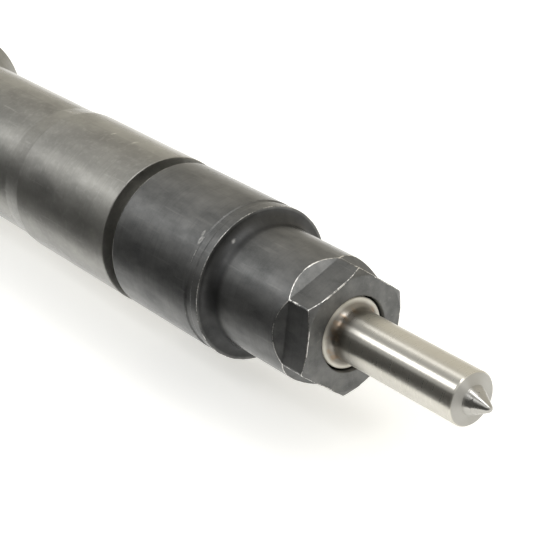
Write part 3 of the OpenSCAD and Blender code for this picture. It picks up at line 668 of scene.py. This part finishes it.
def inlet_section(angle, offset_deg):
    """The inlet's section at one angle: a hexagon's collar, then the thread, then the cone in the mouth."""
    hex_r = min(HEX_CAP_R, HEX_APOTHEM / math.cos(math.radians(offset_deg)))
    top_r = min(HEX_CAP_R - 1, hex_r - 0.1)
    start, end = THREAD
    steps = int((end - start) / PITCH * STEPS_EACH_TURN)
    heights = [start + (end - start) * i / steps for i in range(steps + 1)]
    root = THREAD_R - THREAD_DEPTH
    return soften([
        (5.0, 9.6, None), (5.0, 18, None), (hex_r, 18, 0.3),
        (hex_r, HEX_TOP - 0.8 * (hex_r - top_r), 0.9), (top_r, HEX_TOP, 0.9),
        (5.8, HEX_TOP, 0.0), (5.8, 25, 0.0),
        *[(thread_radius(angle, height), height, None) for height in heights],
        (root, end, 0.4), (root - 0.2, 37, 0.5), (4.7, 37, 0.6), (2.2, 32.8, None),
        (2.2, 16, None), (1.25, 16, None), (1.25, 9.6, None),
    ])


def about_inlet(angle, r, height):
    """A point at an angle about the inlet's own axis, and at a height above the injector's axis."""
    return (INLET_X + r * math.cos(angle), r * math.sin(angle), height)


inlet_columns = []
for flat in range(6):
    for offset in hexagon_angles(4):
        turn = math.radians(30 + 60 * flat + offset)
        inlet_columns.append((turn, inlet_section(turn, offset)))
inlet = ring("threaded_inlet", inlet_columns, about_inlet, "zinc_steel")
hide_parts("inlet_stub")

# %% [markdown]
# ## The plug socket
#
# The black cap is glass-filled nylon, moulded in one shot over the end of the solenoid, and its socket sticks out
# to one side. A moulded part has no sharp edges, because the mould's corners are rounded so the plastic can flow.
# The cap is drawn as a ring. The socket is a cup with a rounded rectangular section: each row is a rectangle with
# its own width, height and corner radius at one distance from the axis.

# %% Plug cap and socket
SOCKET_MID = -171.9
SOCKET_CORNER_STEPS = 7


def arc(r, u, radius, from_deg, to_deg, steps=5):
    """Rounded corner of a section, from one angle to another, measured from outwards towards +u."""
    turns = [math.radians(from_deg + (to_deg - from_deg) * i / steps) for i in range(steps + 1)]
    return [(r + radius * math.cos(t), u + radius * math.sin(t), None) for t in turns]


cap_section = soften([
    (10.95, 160.2, None), *arc(12.1, 160.7, 0.5, -90, 0), (12.6, 163.2, None), (12.35, 163.45, None),
    (12.35, 164.35, None), (12.6, 164.6, None), *arc(11.4, 173.8, 1.2, 0, 90), (9.0, 175.0, None),
    (5.05, 175.0, None), (5.05, 168.45, None), (10.95, 168.45, None),
])
CAP_COLUMNS = 144
cap_columns = [(math.radians(360 / CAP_COLUMNS * i), cap_section) for i in range(CAP_COLUMNS)]
cap = ring("plug_cap", cap_columns, about_injector, "black_plastic")

# Each row: half width, half height, corner radius, distance from the axis
socket_rows = [
    (7.9, 5.9, 1.6, 8.0), (8.5, 6.5, 2.0, 8.4), (8.5, 6.5, 2.0, 15.2), (8.7, 6.7, 2.1, 15.5), (9.4, 7.4, 2.5, 15.6),
    (9.7, 7.7, 2.6, 15.9), (9.7, 7.7, 2.6, 17.5), (9.4, 7.4, 2.5, 17.8), (8.7, 6.7, 2.1, 17.9), (8.5, 6.5, 2.0, 18.2),
    (8.5, 6.5, 2.0, 30.4), (8.35, 6.35, 1.9, 30.8), (8.0, 6.0, 1.7, 31.0), (7.1, 5.1, 1.4, 31.0),
    (6.8, 4.8, 1.3, 30.85), (6.7, 4.7, 1.2, 30.5), (6.7, 4.7, 1.2, 17.3), (6.4, 4.4, 1.1, 17.0),
]
socket_points, socket_faces = [], []
for half_w, half_h, corner, reach in socket_rows:
    for quarter in range(4):
        for step in range(SOCKET_CORNER_STEPS):
            turn = math.radians(90 * (quarter + step / (SOCKET_CORNER_STEPS - 1)))
            side_w = (1, -1, -1, 1)[quarter] * (half_w - corner)
            side_h = (1, 1, -1, -1)[quarter] * (half_h - corner)
            across, along = side_w + corner * math.cos(turn), side_h + corner * math.sin(turn)
            socket_points.append((SOCKET_MID + along, -reach, across))
around = 4 * SOCKET_CORNER_STEPS
for row in range(len(socket_rows) - 1):
    for i in range(around):
        j = (i + 1) % around
        socket_faces.append((row * around + i, row * around + j, (row + 1) * around + j, (row + 1) * around + i))
last = (len(socket_rows) - 1) * around
socket_faces += [tuple(range(around)), tuple(range(last + around - 1, last - 1, -1))]
socket = piece_from("plug_socket", socket_points, socket_faces, "black_plastic")
for piece in (cap, socket):
    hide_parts("connector_housing")

# %% [markdown]
# ## The springs
#
# Three springs are wound from round wire, with the end turns closed up so that they stand flat. When the injector
# opens, each spring gets shorter by the joint's travel, but here each one is built once, at one length. The nozzle
# spring and the solenoid spring join two bodies that slide on each other, and are attached to neither. The armature's
# spring stands on the fixed guide and is pressed by the plate, and it is attached to the injector's body.

# %% Springs
WIRE_SIDES = 12
STEPS_EACH_WIND = 32


def wound_spring(name, mean_r, wire_r, start, end, turns, body=None):
    """Round wire wound about the axis between two distances behind the nut's face."""
    height = end - start - 2 * wire_r
    closed = 2.1 * wire_r / height
    last = turns * STEPS_EACH_WIND
    points = []
    for i in range(last + 1):
        done = i / STEPS_EACH_WIND
        if done < 1:
            rise = closed * done
        elif done > turns - 1:
            rise = 1 - closed * (turns - done)
        else:
            rise = closed + (1 - 2 * closed) * (done - 1) / (turns - 2)
        for k in range(WIRE_SIDES):
            about = 2 * math.pi * k / WIRE_SIDES
            r = mean_r + wire_r * math.cos(about)
            u = start + wire_r + height * rise + wire_r * math.sin(about)
            points.append(about_injector(2 * math.pi * done, r, u))
    faces = [tuple(range(WIRE_SIDES)), tuple(range(last * WIRE_SIDES, (last + 1) * WIRE_SIDES))]
    for i in range(last):
        for k in range(WIRE_SIDES):
            this, above = i * WIRE_SIDES + k, i * WIRE_SIDES + (k + 1) % WIRE_SIDES
            faces.append((this, above, above + WIRE_SIDES, this + WIRE_SIDES))
    return piece_from(name, points, faces, "spring_steel", body=body)


# Each spring: mean radius, wire radius, start, end, turns
nozzle_spring = wound_spring("wound_nozzle_spring", 2.58, 0.45, 25.63, 42.97, 10)
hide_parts("nozzle_spring")
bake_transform(nozzle_spring)
solenoid_spring = wound_spring("wound_solenoid_spring", 1.72, 0.3, 155.03, 165.57, 8)
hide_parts("solenoid_spring")
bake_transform(solenoid_spring)
armature_spring = wound_spring("wound_armature_spring", 2.15, 0.2, 150.63, 152.57, 3, "injector")
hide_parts("armature_spring")
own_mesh(armature_spring)

# %% [markdown]
# ## The floor, the light and the camera
#
# Polished metal shows its surroundings more than itself, so the light here is built for the reflections. Small
# steel parts are usually shot in a white tent: the floor and walls are white, long soft boxes above give the
# straight streaks along the shaft, and a black flag low on one side gives the dark line that makes a round bar
# look round. The flag is only there for reflections: the camera and the shadows don't see it.

# %% Floor
floor_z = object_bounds()[0][2]
FLOOR_SIZE = 8.0
bpy.ops.mesh.primitive_plane_add(size=FLOOR_SIZE, location=(0, 0, floor_z))
floor = bpy.context.object
floor.name = "floor"
floor.data.materials.append(surface(
    "lit_acrylic", 0.0, 0.9, "#f8f8f7", Emission_Color=colour("#fffffd"), Emission_Strength=0.36
))
print("floor at", round(floor_z / MM, 2), "mm")

# %% Soft boxes
def soft_box(name, turn_deg, distance, width, length, along, watts):
    """A long light parallel to the injector's axis, turned about it from straight above towards -Y."""
    lamp = bpy.data.lights.new(name, "AREA")
    lamp.shape = "RECTANGLE"
    lamp.size = length
    lamp.size_y = width
    lamp.energy = watts
    piece = bpy.data.objects.new(name, lamp)
    bpy.context.scene.collection.objects.link(piece)
    turn = Matrix.Rotation(math.radians(turn_deg), 4, "X")
    piece.matrix_world = turn @ Matrix.Translation((along, 0, distance))
    return piece


def radiance_to_watts(radiance, width, length):
    """The power that makes an area light look this bright."""
    return radiance * width * length * math.pi


LIGHT_DISTANCE = 0.6
LIGHT_LENGTH = 1.4
LIGHT_ALONG = -0.5
# Each row: name, turn in degrees, width in metres, radiance
for name, turn_deg, width, radiance in (("key_box", 42.5, 0.17, 2.6), ("top_box", -2.5, 0.13, 0.95)):
    watts = radiance_to_watts(radiance, width, LIGHT_LENGTH)
    soft_box(name, turn_deg, LIGHT_DISTANCE, width, LIGHT_LENGTH, LIGHT_ALONG, watts)

# A narrow box in front of the nozzle puts the streak on its cone. It is there only for reflections.
FRONT_WIDTH, FRONT_LENGTH, FRONT_RADIANCE = 0.12, 0.85, 6.0
front_watts = radiance_to_watts(FRONT_RADIANCE, FRONT_WIDTH, FRONT_LENGTH)
front = soft_box("front_box", 7.0, LIGHT_DISTANCE, FRONT_WIDTH, FRONT_LENGTH, 0.5, front_watts)
front.visible_diffuse = False

# A wide box straight above evens out the floor, and doesn't show in the steel.
FILL_SIDE, FILL_HEIGHT, FILL_RADIANCE = 2.0, 1.2, 0.4
fill_watts = radiance_to_watts(FILL_RADIANCE, FILL_SIDE, FILL_SIDE)
fill = soft_box("floor_fill", 0, FILL_HEIGHT, FILL_SIDE, FILL_SIDE, 0, fill_watts)
fill.visible_glossy = False

# %% Black flag
FLAG_FOOT = (-0.024, floor_z + 0.0006)
FLAG_TOP = (-0.16, 0.065)
FLAG_ENDS = (-0.9, 0.5)
flag_mesh = bpy.data.meshes.new("black_flag")
flag_corners = [(x, y, z) for y, z in (FLAG_FOOT, FLAG_TOP) for x in FLAG_ENDS]
flag_mesh.from_pydata(flag_corners, [], [(0, 1, 3, 2)])
flag = bpy.data.objects.new("black_flag", flag_mesh)
bpy.context.scene.collection.objects.link(flag)
flag_mesh.materials.append(surface("black_felt", 0.0, 1.0, "#464646"))
for ray in ("camera", "diffuse", "shadow"):
    setattr(flag, "visible_" + ray, False)
print("the flag leans from", FLAG_FOOT[0], "m to", FLAG_TOP[0], "m in y")

# %% Tent
# Its cloth is greyer on one side and warmer on the other, and fades between these two places.
GREY_CLOTH, WARM_CLOTH = "#b8b8b6", "#e6e1d4"
FADE = (-0.3, 0.5)
world = bpy.data.worlds.new("tent")
bpy.context.scene.world = world
world.use_nodes = True
tree = world.node_tree
tree.nodes.clear()
towards = add(tree, "TexCoord", out="Generated")
side = add(tree, "SeparateXYZ", towards, out="Y")
warm = add(tree, "MapRange", side, *FADE)
tent = add(tree, "Mix", warm, named=[(FIRST, GREY_CLOTH), (SECOND, WARM_CLOTH)], **AS_COLOUR)
background = add(tree, "Background", tent, 1.0)
add(tree, "OutputWorld", background)
print("the tent goes from", GREY_CLOTH, "to", WARM_CLOTH)

# %% Camera
# It looks down at the nozzle's end from in front and to the left, with a long lens, so the bar hardly narrows.
EYE = Vector((142.08, -125.71, 98.34)) * MM
LOOK = Vector((-0.7086, 0.5612, -0.4275))
FOCAL_LENGTH, SENSOR_WIDTH = 115.64, 36.0
lens = bpy.data.cameras.new("camera")
lens.sensor_width = SENSOR_WIDTH
lens.lens = FOCAL_LENGTH
lens.clip_start = 0.01
camera = bpy.data.objects.new("camera", lens)
bpy.context.scene.collection.objects.link(camera)
camera.location = EYE
camera.rotation_euler = LOOK.to_track_quat("-Z", "Y").to_euler()
bpy.context.scene.camera = camera
bpy.context.scene.view_settings.view_transform = "Standard"
print("camera looks along", [round(c, 3) for c in LOOK])
